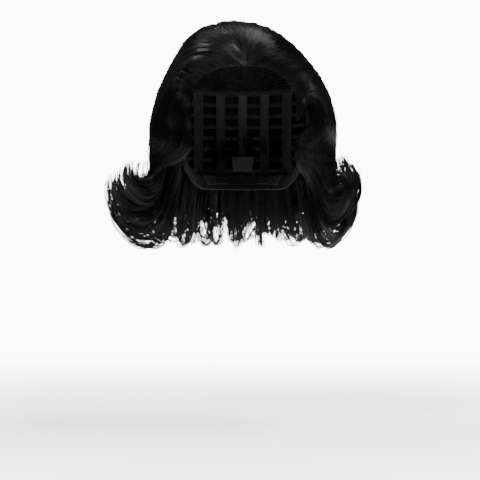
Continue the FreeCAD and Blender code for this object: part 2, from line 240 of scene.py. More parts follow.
TEASED = fibre("teased_black", (0.0012, 0.0011, 0.0010), (0.008, 0.007, 0.0065), 0.6, 0.2)
THREAD = fibre("thread_black", (0.012, 0.012, 0.013), (0.03, 0.03, 0.032), 0.55, 0.3)
NET = fibre("net_black", (0.006, 0.006, 0.0065), (0.015, 0.015, 0.016), 0.6, 0.25)
TAPE = woven("tape_black", (0.009, 0.009, 0.0095), 0.75, (60, 12), shine=0.2, sheen=0.08)
ELASTIC = woven("elastic_black", (0.012, 0.012, 0.013), 0.6, (90, 10), shine=0.22, sheen=0.08)
WEFT_TAPE = woven("weft_tape_black", (0.007, 0.007, 0.0075), 0.7, (120, 6), shine=0.2, sheen=0.08)
LABEL = woven("label_satin", (0.055, 0.055, 0.06), 0.4, (70, 50), depth=0.2, shine=0.5)
HOOK = moulded("hook_black", (0.014, 0.014, 0.015), 0.4)
PILE = fibre("pile_black", (0.008, 0.008, 0.009), (0.02, 0.02, 0.022), 0.85, 0.2)
STAY = moulded("stay_black", (0.02, 0.02, 0.021), 0.35)


# ---- paths -----------------------------------------------------------------------------------

def unit(vectors):
    return vectors / np.linalg.norm(vectors, axis=-1, keepdims=True)


def ease(x, start=0.0, end=1.0):
    """0 before start, 1 after end, smooth between."""
    x = np.clip((np.asarray(x, float) - start) / (end - start), 0, 1)
    return x * x * (3 - 2 * x)


def smooth_line(knots, count):
    """count points on a smooth line through a few knots, the same number for every span."""
    first = 2 * knots[..., :1, :] - knots[..., 1:2, :]
    last = 2 * knots[..., -1:, :] - knots[..., -2:-1, :]
    padded = np.concatenate([first, knots, last], axis=-2)
    at = np.linspace(0, knots.shape[-2] - 1, count)
    span = np.minimum(at.astype(int), knots.shape[-2] - 2)
    f = (at - span)[:, None]
    a, b, c, d = (padded[..., span + step, :] for step in range(4))
    return b + 0.5 * f * (c - a + f * (2 * a - 5 * b + 4 * c - d + f * (3 * (b - c) + d - a)))


def settle(places):
    """Leans the crown to the right and draws it in a little under its top, as combed hair settles."""
    height = places[..., 2]
    drawn = 1 - 0.055 * np.exp(-(((height - 56) / 26) ** 2))
    leaned = 8.0 * ease(height, 35, 100)
    return np.stack([places[..., 0] * drawn - leaned, places[..., 1], height], axis=-1)


def head_level(height):
    """The head form's size in plan at a height, as a share of its widest."""
    return math.sqrt(max(1 - ((height - DOME_LOW) / HEAD[2]) ** 2, 0))


def head_back(x, z, least):
    """How far back the head form's surface is, as a share of its half depth."""
    return math.sqrt(max(1 - (x / HEAD[0]) ** 2 - ((z - DOME_LOW) / HEAD[2]) ** 2, least))


def polar(bearing, reach, height):
    """A point in plan polar form. The plan is an oval, deeper than it is wide."""
    turn = math.radians(bearing)
    return np.array([reach * math.cos(turn), DEEPER * reach * math.sin(turn), height])


def off_face(point):
    """How far outside the face opening a point lies, seen from the front."""
    corner = 32.0
    across = max(abs(point[0]) - (FACE_HALF - corner), 0)
    above = max(point[2] - (HAIRLINE - corner), 0)
    return math.hypot(across, above) - corner


def fullness(direction):
    """How far out the hair's surface stands in a direction, as a share of the full dome."""
    if direction[1] > 0:
        return 1.0
    gap = off_face(CENTRE + HAIR * direction)
    front = ease(-direction[1], 0.0, 0.35)
    return 1.0 - front * 0.17 * math.exp(-max(gap, 0) / 15.0)


ROOT_STAND = 2.0  # how far off the head the hairline's locks are rooted


def arch_point(share, side):
    """A point of the hairline on the head: share 0 is the parting, 1 the foot of the temple."""
    knots = np.array([
        (PARTING * side, 0, 47.5), (14, 0, 47), (32, 0, 43.5), (46, 0, 34),
        (54, 0, 20), (57, 0, 4), (56.5, 0, -14),
    ])
    at = smooth_line(knots, 61)[int(round(np.clip(share, 0, 1) * 60))]
    x, z = at[0], at[2]
    return np.array([side * x, -(HEAD[1] + ROOT_STAND) * head_back(x, z, 0.05), z])


DOME_STOP = 0.97  # how much of the way to the dome's foot its knots go


def over_dome(root, goal, depth, lift, steps=7, stop=1.0):
    """Knots from a root on the head, up to the hair's surface and on towards a goal direction."""
    start = (root - CENTRE) / HAIR
    share = np.linalg.norm(start)
    start, goal = unit(start), unit(goal)
    angle = math.acos(np.clip(start @ goal, -1, 1))
    knots = [root]
    for step in range(1, steps):
        t = stop * (step / (steps - 1)) ** 1.15
        at = (math.sin((1 - t) * angle) * start + math.sin(t * angle) * goal) / math.sin(angle)
        at = unit(at + np.array([0, 0, lift * math.sin(math.pi * t)]))
        surface = fullness(at) - depth
        near = math.exp(-t * angle / 0.07)
        knots.append(CENTRE + HAIR * at * (surface + (share - surface) * near))
    return knots


def foot_goal(bearing):
    """The direction of a place at the dome's foot, for a bearing in plan."""
    return unit(polar(bearing, 100, 0) / HAIR + np.array([0, 0, 0.02]))


HOOK_HEIGHT = -45  # where the right lock turns under, 20 degrees forward of the side
# The wave of the locks on the left: heights from low to high, and the turn at each in degrees.
LEFT_WAVE = (
    (-82, -68, -56, -46, -36, -24, -10, 6, 24, 45),
    (-8, -3, 6, 10, 7, -4, -13, -14, -8, 0),
)


def wave(side, bearing, height, depth=0.0):
    """How far a lock is turned at a height, in degrees, positive towards the face.

    On the right the locks beside the face hook back under themselves. On the left they bow out
    over the temple, come forward at the cheek and go back again.
    """
    toward_face = float(ease(bearing, -18, 34))
    outer = 1 - 9 * depth
    if side < 0:
        hook = HOOK_HEIGHT - 0.55 * (bearing - 20)  # the height at which the lock turns under
        back = float(ease(-height, -hook - 15, -hook + 9))
        bulge = 3 * math.exp(-(((height + 26) / 16) ** 2))
        return toward_face * (bulge - max(bearing - 3, 0) * 0.84 * outer * back)
    return toward_face * outer * float(np.interp(height, *LEFT_WAVE))


FLIP_BEARINGS = (-90, -52, -20, 15, 45)
FLIP_REACHES = {-1: (121, 126, 138, 150, 150), 1: (121, 122, 126, 130, 130)}


def reach_of(side, bearing):
    """How far the flips reach at a bearing from the side, positive towards the face."""
    return float(np.interp(bearing, FLIP_BEARINGS, FLIP_REACHES[side]))


def bowl_low(tier):
    """The lowest height of a tier's flip."""
    return -70 - 74 * tier**0.9


def bowl_rise(tier):
    """How far a tier's flip rises again from its lowest height."""
    return 14 + 34 * min(1, tier / 0.6)


def flip_knots(side, bearing, tier, style):
    """The end of a lock: down, out round a bowl and up to the tip. Tier 0 is the top layer."""
    drawn_in = 1.15 if side < 0 else 1.3
    spread = (0.45 + 1.5 * tier - drawn_in * tier**2) * style.size
    reach = FALL_REACH + (reach_of(side, bearing) - FALL_REACH) * spread
    start = FALL_START - 20 * tier
    half = (reach - start) / 2
    bottom = bowl_low(tier)
    rise = bowl_rise(tier) * style.size
    tip = bottom + rise + 12 * (1 - tier) ** 3
    shape = [
        (start + 0.05 * half, bottom + rise),
        (start + 0.38 * half, bottom + 0.24 * rise),
        (start + half, bottom),
        (start + 1.64 * half, bottom + 0.25 * rise),
        (start + 2 * half, bottom + 0.62 * rise),
        (start + (2.05 - 0.5 * style.curl) * half, tip),
    ]
    if style.curl > 0.3:
        shape.append((start + (2.0 - 1.15 * style.curl) * half, tip + 0.06 * rise))
    turned = np.linspace(0, 1, len(shape)) ** 1.4
    pull = (style.bearing - bearing) * 0.45
    return [
        polar(plan_bearing(side, bearing + turn * (style.drift + pull)), reach, height)
        for (reach, height), turn in zip(shape, turned)
    ]


def plan_bearing(side, bearing):
    """The bearing from +X of a place given from its side, positive towards the face."""
    return -bearing if side > 0 else 180 + bearing


FALL_REACH = 100.0  # of the hair that hangs below the dome
FALL_START = 98.0  # where the top layer's flips leave it


def edge_reach(bearing, depth):
    """How far out the hair hangs below the dome. It thins towards the face."""
    return FALL_REACH * (1 - 0.17 * ease(bearing, 22, 48) - depth)


def fall_knots(side, bearing, depth, low):
    """Knots down the side of the head, waving, from the dome's foot to where a flip starts."""
    knots = []
    for height in np.arange(DOME_LOW - 3, low + 5, -11.0):
        turned = min(bearing + wave(side, bearing, height, depth), 46)
        out = edge_reach(turned, depth)
        knots.append(polar(plan_bearing(side, turned), out, height))
    return knots


# ---- locks and strands -----------------------------------------------------------------------

POINTS = 21  # along a strand


def carried_frames(paths):
    """Directions across and out of each path, carried along it without twisting."""
    along = unit(np.gradient(paths, axis=1))
    out = np.empty_like(paths)
    away = unit((paths[:, 0] - CENTRE) / HAIR**2)
    out[:, 0] = unit(away - (away * along[:, 0]).sum(-1, keepdims=True) * along[:, 0])
    for i in range(paths.shape[1] - 1):
        step = paths[:, i + 1] - paths[:, i]
        size = (step * step).sum(-1, keepdims=True)
        turned = out[:, i] - 2 / size * (step * out[:, i]).sum(-1, keepdims=True) * step
        head = along[:, i] - 2 / size * (step * along[:, i]).sum(-1, keepdims=True) * step
        back = along[:, i + 1] - head
        size = np.maximum((back * back).sum(-1, keepdims=True), 1e-12)
        out[:, i + 1] = unit(turned - 2 / size * (back * turned).sum(-1, keepdims=True) * back)
    return np.cross(along, out), out


def strands_of(paths, count, width, thickness, loose, stray=0.03):
    """Strands about each path: a flat bundle that closes towards its tip."""
    paths = settle(paths)
    across, out = carried_frames(paths)
    t = np.linspace(0, 1, paths.shape[1])[None, None, :]
    shape = (paths.shape[0], count, 1)
    turn = rng.uniform(0, 2 * math.pi, shape)
    spread = np.sqrt(rng.uniform(0, 1, shape))
    # A few strands stray: they stand further off their lock, and close up less.
    wild = np.where(rng.uniform(0, 1, shape) < stray, rng.uniform(1.5, 3.0, shape), 1.0)
    close = (0.75 + 0.25 * ease(t, 0, 0.2)) * (1 - 0.72 * ease(t, 0.62, 1.0) / wild)
    side = spread * np.cos(turn) * width * close * wild
    up = spread * np.sin(turn) * thickness * close * (0.5 + 0.5 * wild)
    for waves in (1.5, 4.0, 9.0):
        amount = loose / waves**0.75 * (0.12 + 0.88 * ease(t, 0.5, 0.95)) * wild
        side = side + amount * np.sin(math.tau * (waves * t + rng.uniform(0, 1, shape)))
        up = up + 0.5 * amount * np.sin(math.tau * (waves * t + rng.uniform(0, 1, shape)))
    made = paths[:, None] + side[..., None] * across[:, None] + up[..., None] * out[:, None]
    return made.reshape(-1, paths.shape[1], 3)


def trimmed(strands, share):
    """The same strands, each ending at its own share of its length."""
    count = strands.shape[1]
    ends = rng.uniform(share, 1.0, len(strands))[:, None] * np.linspace(0, count - 1, count)
    low = np.minimum(ends.astype(int), count - 2)
    f = (ends - low)[..., None]
    rows = np.arange(len(strands))[:, None]
    return strands[rows, low] * (1 - f) + strands[rows, low + 1] * f


def linked(made):
    bpy.context.scene.collection.objects.link(made)
    return made


def ring_section(name, sides):
    """A many-sided section for a tube, one unit in radius."""
    flat = bpy.data.curves.new(name, "CURVE")
    ring = flat.splines.new("POLY")
    ring.points.add(sides - 1)
    for point, turn in zip(ring.points, np.linspace(0, math.tau, sides, endpoint=False)):
        point.co = (math.cos(turn), math.sin(turn), 0, 1)
    ring.use_cyclic_u = True
    return linked(bpy.data.objects.new(name, flat))


STRAND_SECTION = ring_section("strand_section", 3)
CORD_SECTION = ring_section("cord_section", 6)


def show(name, mesh, *materials):
    """An object for a finished mesh, linked to the scene."""
    mesh.name = name
    mesh.materials.clear()
    for material in materials:
        mesh.materials.append(material)
    return linked(bpy.data.objects.new(name, mesh))


def frozen(holder, name, *materials):
    """A plain mesh object in place of one with a bevel or live modifiers."""
    shown = holder.evaluated_get(bpy.context.evaluated_depsgraph_get())
    mesh = bpy.data.meshes.new_from_object(shown)
    bpy.data.objects.remove(holder)
    mesh.shade_smooth()
    return show(name, mesh, *materials)


def tubes(name, lines, radii, material, section, cyclic=False):
    """One mesh of many tubes, each along its line of points in millimetres."""
    curve = bpy.data.curves.new(f"{name}_line", "CURVE")
    curve.dimensions = "3D"
    curve.bevel_mode = "OBJECT"
    curve.bevel_object = section
    curve.use_fill_caps = not cyclic
    for line, radius in zip(lines, radii):
        spline = curve.splines.new("POLY")
        spline.points.add(len(line) - 1)
        spline.points.foreach_set("co", np.c_[line * MM, np.ones(len(line))].ravel())
        spline.points.foreach_set("radius", np.broadcast_to(radius, len(line)) * MM)
        spline.use_cyclic_u = cyclic
    return frozen(linked(bpy.data.objects.new(f"{name}_line", curve)), name, material)


def strand_mesh(name, strands, radius, material, tones_and_painted_light, tip=0.42):
    """One mesh of many fine strands, thinner at root and tip, each with its lock's shade, which holds
    painted highlight and painted shade as well as a random tone.
    """
    t = np.linspace(0, 1, strands.shape[1])
    taper = (0.7 + 0.3 * ease(t, 0, 0.1)) * (1 - (1 - tip) * ease(t, 0.66, 1.0))
    radii = taper * radius * rng.uniform(0.8, 1.15, (len(strands), 1))
    piece = tubes(name, strands, radii, material, STRAND_SECTION)
    # Each strand keeps its lock's shade, painted highlight and shade as well as tone, with a random
    # lift of its own.
    tones_and_painted_light = np.clip(0.75 * tones_and_painted_light + 0.5 * rng.beta(1.0, 3.0, len(strands)), 0, 1)
    carried = piece.data.attributes.new(TONE_AND_PAINTED_LIGHT, "FLOAT", "POINT")
    around = len(piece.data.vertices) // len(strands)
    carried.data.foreach_set("value", np.repeat(tones_and_painted_light, around).astype(np.float32))
    return piece


# ---- the hair --------------------------------------------------------------------------------

def jitter(amount):
    return float(rng.uniform(-amount, amount))


def low_of(tier):
    """The height at which a lock of a tier starts to flip."""
    return bowl_low(tier) + bowl_rise(tier)


class Curl:
    """What the locks that end in one curl share: where it points, its size and how it turns in."""

    def __init__(self, side, bearing, tier):
        self.bearing = bearing + jitter(2)
        self.tier = float(np.clip(tier + jitter(0.07), 0, 1))
        self.size = rng.uniform(0.80, 1.08)
        self.curl = rng.uniform(0.0, 0.35) if side < 0 else rng.uniform(0.15, 0.85)
        self.drift = jitter(13 if bearing > -40 else 22) - (2 if bearing < 8 else 7)


# The layers of curls from the top one down: tier, bearing of the first curl, and pitch.
LAYERS = ((0.03, -89, 6.5), (0.25, -92, 7), (0.5, -87, 7.5), (0.72, -91, 8), (0.95, -89, 8.5))


def ring_of_curls(side):
    """One side's curls, layer by layer."""
    curls = []
    for tier, first, pitch in LAYERS:
        curls += [Curl(side, bearing, tier) for bearing in np.arange(first, 30, pitch)]
    return curls


CURLS = {side: ring_of_curls(side) for side in (-1, 1)}


FLIP_FRONT = 27  # flips nearer the face than this bearing are brought back to it


def curl_for(side, bearing, tier):
    """The curl that a lock joins."""
    return min(CURLS[side], key=lambda c: abs(c.bearing - bearing) / 8 + abs(c.tier - tier) * 9)


def end_knots(side, bearing, tier, apart=0.6):
    """A lock's flip. apart is how much of its own tier it keeps within its curl."""
    held = min(bearing, FLIP_FRONT)
    style = curl_for(side, held, tier)
    own = style.tier + apart * (tier - style.tier) + jitter(0.04)
    return flip_knots(side, held + jitter(1.5), min(max(own, 0), 1), style)


class Tress:
    """A ridge of combed hair: its locks run side by side, highest in its middle."""

    def __init__(self, low, high):
        self.middle = (low + high) / 2
        self.half = (high - low) / 2
        self.lift = 1 + jitter(0.14)
        self.share = jitter(0.02)
        self.depth = rng.uniform(0, 0.008)
        # A random tone for the tress; the lighter tresses stand in for highlight streaks along the
        # combed hair, as painted highlight.
        self.shade = rng.beta(0.7, 1.6)

    def locks(self, spacing):
        """Where its locks lie, how deep, and their shade: a random tone, lighter in the middle as
        painted highlight on the crest and darker towards the edges as painted shade in the grooves.
        """
        count = max(int(round(2 * self.half / spacing)), 2)
        for off in (np.arange(count) + 0.5) / count * 2 - 1:
            bearing = self.middle + self.half * (0.82 * off + jitter(0.12))
            depth = self.depth + 0.014 * off**2 + rng.uniform(0, 0.012) * rng.uniform(0, 1)
            # Lighter in the middle and darker towards the edges, where the grooves are: painted
            # highlight on the crest and painted shade in the grooves.
            yield bearing, depth, float(np.clip(self.shade * (1 - 0.5 * off**2) + jitter(0.15), 0, 1))


def tresses(low, high, narrow, wide):
    """Tresses of uneven width from one bearing to another."""
    edges = [low]
    while edges[-1] < high:
        edges.append(edges[-1] + rng.uniform(narrow, wide))
    return [Tress(near, far) for near, far in zip(edges, edges[1:])]


def sweep_lock(side, bearing, tier, depth, tress):
    """A lock combed from the hairline over the dome, down the side and out into its flip."""
    back = ease(bearing, 42, -15)  # 1 for hair that goes to the back of the head
    share = float((1 - back) ** 0.8 * 0.93 + 0.03 + tress.share + jitter(0.012))
    root = arch_point(share, side)
    root[0] -= side * back * rng.uniform(0, 4)
    goal_turn = bearing + wave(side, bearing, DOME_LOW, depth)
    goal = foot_goal(plan_bearing(side, goal_turn))
    lift = (0.10 if side > 0 else 0.16) + 0.10 * ease(bearing, -30, 20)
    knots = over_dome(root, goal, depth, lift * tress.lift, stop=DOME_STOP)
    knots += fall_knots(side, bearing, depth, low_of(tier))
    knots += end_knots(side, bearing + wave(side, bearing, low_of(tier), depth), tier)
    return smooth_line(np.array(knots), POINTS)


def hairline_lock(side, share):
    """A short lock that starts at the hairline and lies along the combed hair."""
    root = arch_point(share, side)
    bearing = -60 + 98 * share + jitter(10)
    goal = foot_goal(plan_bearing(side, bearing))
    knots = over_dome(root, goal, rng.uniform(0.002, 0.016), 0.12, steps=14, stop=DOME_STOP)
    knots = np.array(knots[: int(rng.integers(6, 10))])
    sink = 1 - 0.085 * np.linspace(0, 1, len(knots))[:, None]
    return smooth_line(CENTRE + (knots - CENTRE) * sink, POINTS // 2)


def crown_lock(bearing, tier, depth):
    """A lock from the top of the cap, down the back or side and out into its flip.

    The bearing is from +X, as plan_bearing gives it.
    """
    side = 1 if bearing < 90 else -1
    own = -bearing if side > 0 else bearing - 180
    turn = math.radians(bearing + jitter(8))
    from_top = rng.uniform(6, 46)
    spot = np.array([PARTING + from_top * math.cos(turn), 12 + from_top * math.sin(turn), 0])
    rest = 1 - (spot[0] / HEAD[0]) ** 2 - (spot[1] / HEAD[1]) ** 2
    root = np.array([spot[0], spot[1], DOME_LOW + (HEAD[2] + 4) * math.sqrt(rest)])
    knots = over_dome(root, foot_goal(bearing), depth, 0.02, stop=DOME_STOP)
    knots += fall_knots(side, own, depth, low_of(tier))
    knots += end_knots(side, own, tier)
    return smooth_line(np.array(knots), POINTS)


def under_lock(side, bearing, tier, depth, top):
    """A lock from a weft at the side or back of the cap, hanging inside the others."""
    turn = plan_bearing(side, bearing)
    level = head_level(top)
    stand = 4 if bearing < -12 else 6  # clear of the ear tabs
    reach = HEAD[0] * level + stand
    deep = (HEAD[1] * level + stand) / reach
    root = np.array([
        reach * math.cos(math.radians(turn)), deep * reach * math.sin(math.radians(turn)), top
    ])
    start = FALL_START - 20 * tier - depth * FALL_REACH
    knots = [root]
    for share in (0.3, 0.65):
        height = top + (low_of(tier) + 6 - top) * share
        knots.append(polar(turn, reach + (start - reach) * ease(share, 0, 0.9) + jitter(1), height))
    knots += end_knots(side, bearing, tier, 1.0)
    return smooth_line(np.array(knots), POINTS)


SWING_FROM = 3  # hair nearer the face than this bearing is laid in a piece of its own
EAR_BACK = -45  # hair further back than this bearing is the back's
LOCK_SPACING = 0.69  # degrees between the locks of the combed-back hair


def lay_piece(name, locks, count, width, thickness, loose, short, radius=0.30):
    """One piece of hair from its locks, each a path and a shade: a random tone, with painted highlight
    in the lighter locks and painted shade at the tress edges.
    """
    paths, tones_and_painted_light = zip(*locks)
    strands = strands_of(np.array(paths), count, width, thickness, loose)
    piece = strand_mesh(name, trimmed(strands, short), radius, HAIR_BLACK, np.repeat(tones_and_painted_light, count))
    return piece


def swings(piece, name):
    """Bakes the piece's place into its mesh."""
    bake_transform(piece)


def lay_sweeps(side, name):
    """One side's combed-back hair: beside the face, over the ear and down the back."""
    front, middle, back = [], [], []
    for tress in tresses(-92, 44, 3.0, 6.5):
        for bearing, depth, shade in tress.locks(LOCK_SPACING):
            tier = 0.8 * rng.beta(1.2, 1.6) if rng.uniform() > 0.16 else rng.uniform(0, 0.08)
            lock = sweep_lock(side, bearing, tier, depth, tress), shade
            (front if bearing > SWING_FROM else middle if bearing > EAR_BACK else back).append(lock)
    piece = lay_piece(f"side_sweep_{name}", front, 17, 3.2, 1.2, 0.45, 0.86)
    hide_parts(f"side_lock_{name}", f"flip_{name}_front", f"hair_temple_{name}")
    swings(piece, name)
    piece = lay_piece(f"ear_sweep_{name}", middle, 16, 3.2, 1.2, 0.45, 0.86)
    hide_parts(f"hair_front_{name}", f"flip_{name}_side")
    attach(piece, "cap")
    piece = lay_piece(f"back_sweep_{name}", back, 15, 3.4, 1.2, 0.45, 0.86)
    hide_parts(f"side_fall_{name}")
    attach(piece, "cap")


CROWN_HALF = 22  # half the spread of the crown's middle piece, in degrees
CROWN_PARTS = {
    "left": ("back_fall_left", "flip_back_left"),
    "centre": ("hair_crown", "hair_back_upper", "back_fall_centre", "flip_back_centre"),
    "right": ("back_fall_right", "flip_back_right"),
}


def lay_crown():
    """The hair that grows from the crown, in one piece for each side and one for the middle."""
    parts = {name: [] for name in CROWN_PARTS}
    for tress in tresses(24, 156, 3.5, 7.5):
        for bearing, depth, shade in tress.locks(1.0):
            tier = float(np.clip(rng.beta(1.3, 1.4) * 0.95, 0, 0.95))
            left, right = bearing < 90 - CROWN_HALF, bearing > 90 + CROWN_HALF
            name = "left" if left else "right" if right else "centre"
            parts[name].append((crown_lock(bearing, tier, depth * 1.6), shade))
    for name, locks in parts.items():
        piece = lay_piece(f"crown_fall_{name}", locks, 15, 4.0, 1.4, 0.5, 0.86)
        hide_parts(*CROWN_PARTS[name])
        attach(piece, "cap")


def lay_under(side, name):
    """The lower layers, rooted on the wefts round the sides and the back."""
    still, swinging = [], []
    for bearing in np.linspace(-92, 36, 125):
        turned = bearing + jitter(1.5)
        tier = float(np.clip(rng.beta(1.3, 1.0), 0, 1))
        top = rng.uniform(-52, -8) if turned < 0 else rng.uniform(-8, 8)
        # Each lock's shade is a random tone; the lighter locks stand in for highlight streaks, as
        # painted highlight.
        lock = under_lock(side, turned, tier, rng.uniform(0.0, 0.05), top), rng.beta(0.8, 2.2)
        (swinging if turned > SWING_FROM else still).append(lock)
    swings(lay_piece(f"under_lock_{name}", swinging, 14, 4.8, 2.2, 0.5, 0.85), name)
    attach(lay_piece(f"under_fall_{name}", still, 12, 4.8, 2.2, 0.5, 0.88), "cap")


def lay_hair():
    for side, name in FROM_RIGHT:
        lay_sweeps(side, name)
        lay_under(side, name)
    lay_crown()
    shares = np.linspace(0, 0.84, 56)
    # Each short lock's shade is a random tone; the lighter ones stand in for highlight streaks, as
    # painted highlight.
    short = [(hairline_lock(side, share), rng.beta(0.8, 2)) for side in (-1, 1) for share in shares]
    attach(lay_piece("hairline_locks", short, 10, 3.0, 0.7, 0.2, 0.85, 0.24), "cap")


# ---- the cap ---------------------------------------------------------------------------------

FABRIC = 1.2  # the cap's tape
TAPE_WALL = FABRIC - 0.2
RIBBON_WALL = 0.9
WEFT = 1.3

# The cap's edge and the bands' inner edge seen from the side: how far back and how high.
FRONT_LOW = (
    (-73.8, 46.3), (-68, 44), (-58, 37), (-51, 25), (-46, 10), (-38, 6.2), (-24, 6.2), (-10.2, 6.2),
)
FRONT_HIGH = (
    (-62, 59), (-58, 54.5), (-48, 46), (-42, 38), (-36, 28.5), (-32, 23.5), (-20, 21.3), (-10.2, 21.2),
)
SIDE_LOW = ((-10, 4.3), (-4, 7.8), (2, 9), (8, 6.5), (14, 0), (20, -14), (25, -29), (30, -46))
SIDE_HIGH = ((-10, 21.2), (-4, 21.1), (2, 21), (10, 19.5), (18, 16.4), (24, 12), (28, 1), (30, -8))
NAPE_LOW = (
    (30, -46), (34, -59), (38, -70.5), (46, -77), (54, -78), (62, -78), (69, -78), (72.8, -78),
)
NAPE_HIGH = (
    (30, -8), (38, -30), (46, -51), (52, -62), (60, -64), (70, -64), (79, -64), (82.8, -64),
)
TAB_LOW = (
    (-45.2, 4.8), (-44.4, -8), (-42.5, -20), (-38, -26.6), (-34, -28.8),
    (-29.5, -26.8), (-23, -19.8), (-17, -8.5), (-12.4, 2.4), (-10.8, 5),
)
TAB_HIGH = tuple((y, 5.5) for y in np.linspace(-45.2, -10.6, 10))


def on_head(places, lift=0.0):
    """Places moved onto the head form, or off it by a lift."""
    away = places - CENTRE
    size = np.linalg.norm(away / HEAD, axis=-1, keepdims=True)
    return CENTRE + away / size * (1 + np.asarray(lift)[..., None] / 90.0)


def from_side(points, side):
    """Points of the head form, given as seen from the side."""
    made = []
    for y, z in points:
        rest = 1 - (y / HEAD[1]) ** 2 - ((z - DOME_LOW) / HEAD[2]) ** 2
        made.append((side * HEAD[0] * math.sqrt(max(rest, 0)), y, z))
    return np.array(made)


def across_middle(points, middle_first):
    """A side's line carried over the middle to the other side."""
    left, right = from_side(points, 1), from_side(points, -1)
    if middle_first:
        return np.concatenate([right[::-1], left[1:]])
    return np.concatenate([right, left[::-1][1:]])


def sheet_object(name, shape):
    """An object for an open sheet that waits for its modifiers."""
    mesh = bpy.data.meshes.new(name)
    shape.to_mesh(mesh)
    shape.free()
    return linked(bpy.data.objects.new(f"{name}_sheet", mesh))


def walled(name, shape, thick, offset, *materials):
    """A closed cloth from an open sheet: the sheet faces away from the head and gets its wall."""
    shape.normal_update()
    facing = sum(face.normal.dot(face.calc_center_median() - Vector(CENTRE * MM))
                 for face in shape.faces)
    if facing < 0:
        bmesh.ops.reverse_faces(shape, faces=shape.faces)
    holder = sheet_object(name, shape)
    wall = holder.modifiers.new("wall", "SOLIDIFY")
    wall.thickness = thick * MM
    wall.offset = offset
    wall.use_even_offset = True
    edge = holder.modifiers.new("edge", "BEVEL")
    edge.width = min(0.3, thick * 0.3) * MM
    edge.segments = 2
    edge.limit_method = "ANGLE"
    edge.angle_limit = math.radians(50)
    return frozen(holder, name, *materials)


def sheet_between(name, low, high, lift, thick, material, cells, relief=None):
    """A cloth on the head between two lines. relief(u, v) raises it, in millimetres."""
    along, across = cells
    low, high = smooth_line(low, along + 1), smooth_line(high, along + 1)
    shape = bmesh.new()
    bmesh.ops.create_grid(
        shape, x_segments=along, y_segments=across, size=1.0, calc_uvs=True
    )
    shape.loops.layers.uv.verify()
    for vert in shape.verts:
        u, v = (vert.co.x + 1) / 2, (vert.co.y + 1) / 2
        at = int(round(u * along))
        place = low[at] * (1 - v) + high[at] * v
        raised = lift + (relief(u, v) if relief else 0.0)
        vert.co = on_head(place, raised) * MM
    bmesh.ops.remove_doubles(shape, verts=shape.verts, dist=2e-5)
    return walled(name, shape, thick, 1, material)


def border(low, high, lift, count=160):
    """The line round a cloth's edge."""
    ends = [smooth_line(low, count), smooth_line(high, count)[::-1]]
    return on_head(np.concatenate(ends), lift)


def bound_edge(name, low, high, lift, material, radius=0.75):
    """A rolled binding round a cloth's edge."""
    return tubes(name, [border(low, high, lift)], [radius], material, CORD_SECTION, cyclic=True)


def stitch_lines(low, high, shares, lift, pitch=3.2, length=2.0):
    """Stitches along a cloth, in rows at shares of its width. Each is a short raised arc."""
    made = []
    for share in shares:
        line = smooth_line(low, 400) * (1 - share) + smooth_line(high, 400) * share
        travel = np.r_[0, np.cumsum(np.linalg.norm(np.diff(line, axis=0), axis=1))]
        for start in np.arange(1.0, travel[-1] - length - 1, pitch):
            at = start + length * np.linspace(0, 1, 5)
            flat = np.stack([np.interp(at, travel, line[:, axis]) for axis in range(3)], axis=1)
            made.append(on_head(flat, lift + 0.32 * np.sin(np.linspace(0, math.pi, 5))))
    return made


def sewn(name, lines, radius=0.24):
    return tubes(name, lines, [radius] * len(lines), THREAD, CORD_SECTION)


def ribs(count, height):
    """Fine ribs along a cloth."""
    return lambda u, v: height * math.cos(math.tau * count * v)


def on_cap(piece, slot, *nodes, body="cap"):
    if nodes:
        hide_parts(*nodes)
    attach(piece, body)
    return piece


def make_bands():
    """The cap's edge: folded tape with a rolled binding and two rows of stitching."""
    lengths = [
        ("front_band", across_middle(FRONT_LOW, True), across_middle(FRONT_HIGH, True), 120),
        ("nape_band", across_middle(NAPE_LOW, False), across_middle(NAPE_HIGH, False), 120),
    ]
    for side, name in SIDES:
        lengths.append(
            (f"side_band_{name}", from_side(SIDE_LOW, side), from_side(SIDE_HIGH, side), 60)
        )
    for name, low, high, along in lengths:
        pucker = lambda u, v: 0.12 * math.sin(u * along * 0.9) * (1 - v)
        tape = sheet_between(f"{name}_tape", low, high, 0.1, TAPE_WALL, TAPE, (along, 10), pucker)
        on_cap(tape, "cap_tape", name)
        on_cap(bound_edge(f"{name}_binding", low, high, 0.55, TAPE), "cap_tape")
        inner = stitch_lines(low, high, (0.12, 0.86), -0.28)
        on_cap(sewn(f"{name}_stitching", inner), "thread")


NET_HEM = (28.6, 32.0)  # the heights of its two edges
NET_CELL = 3.6
NET_RADIUS = 92  # of the round form that the flat net is laid over


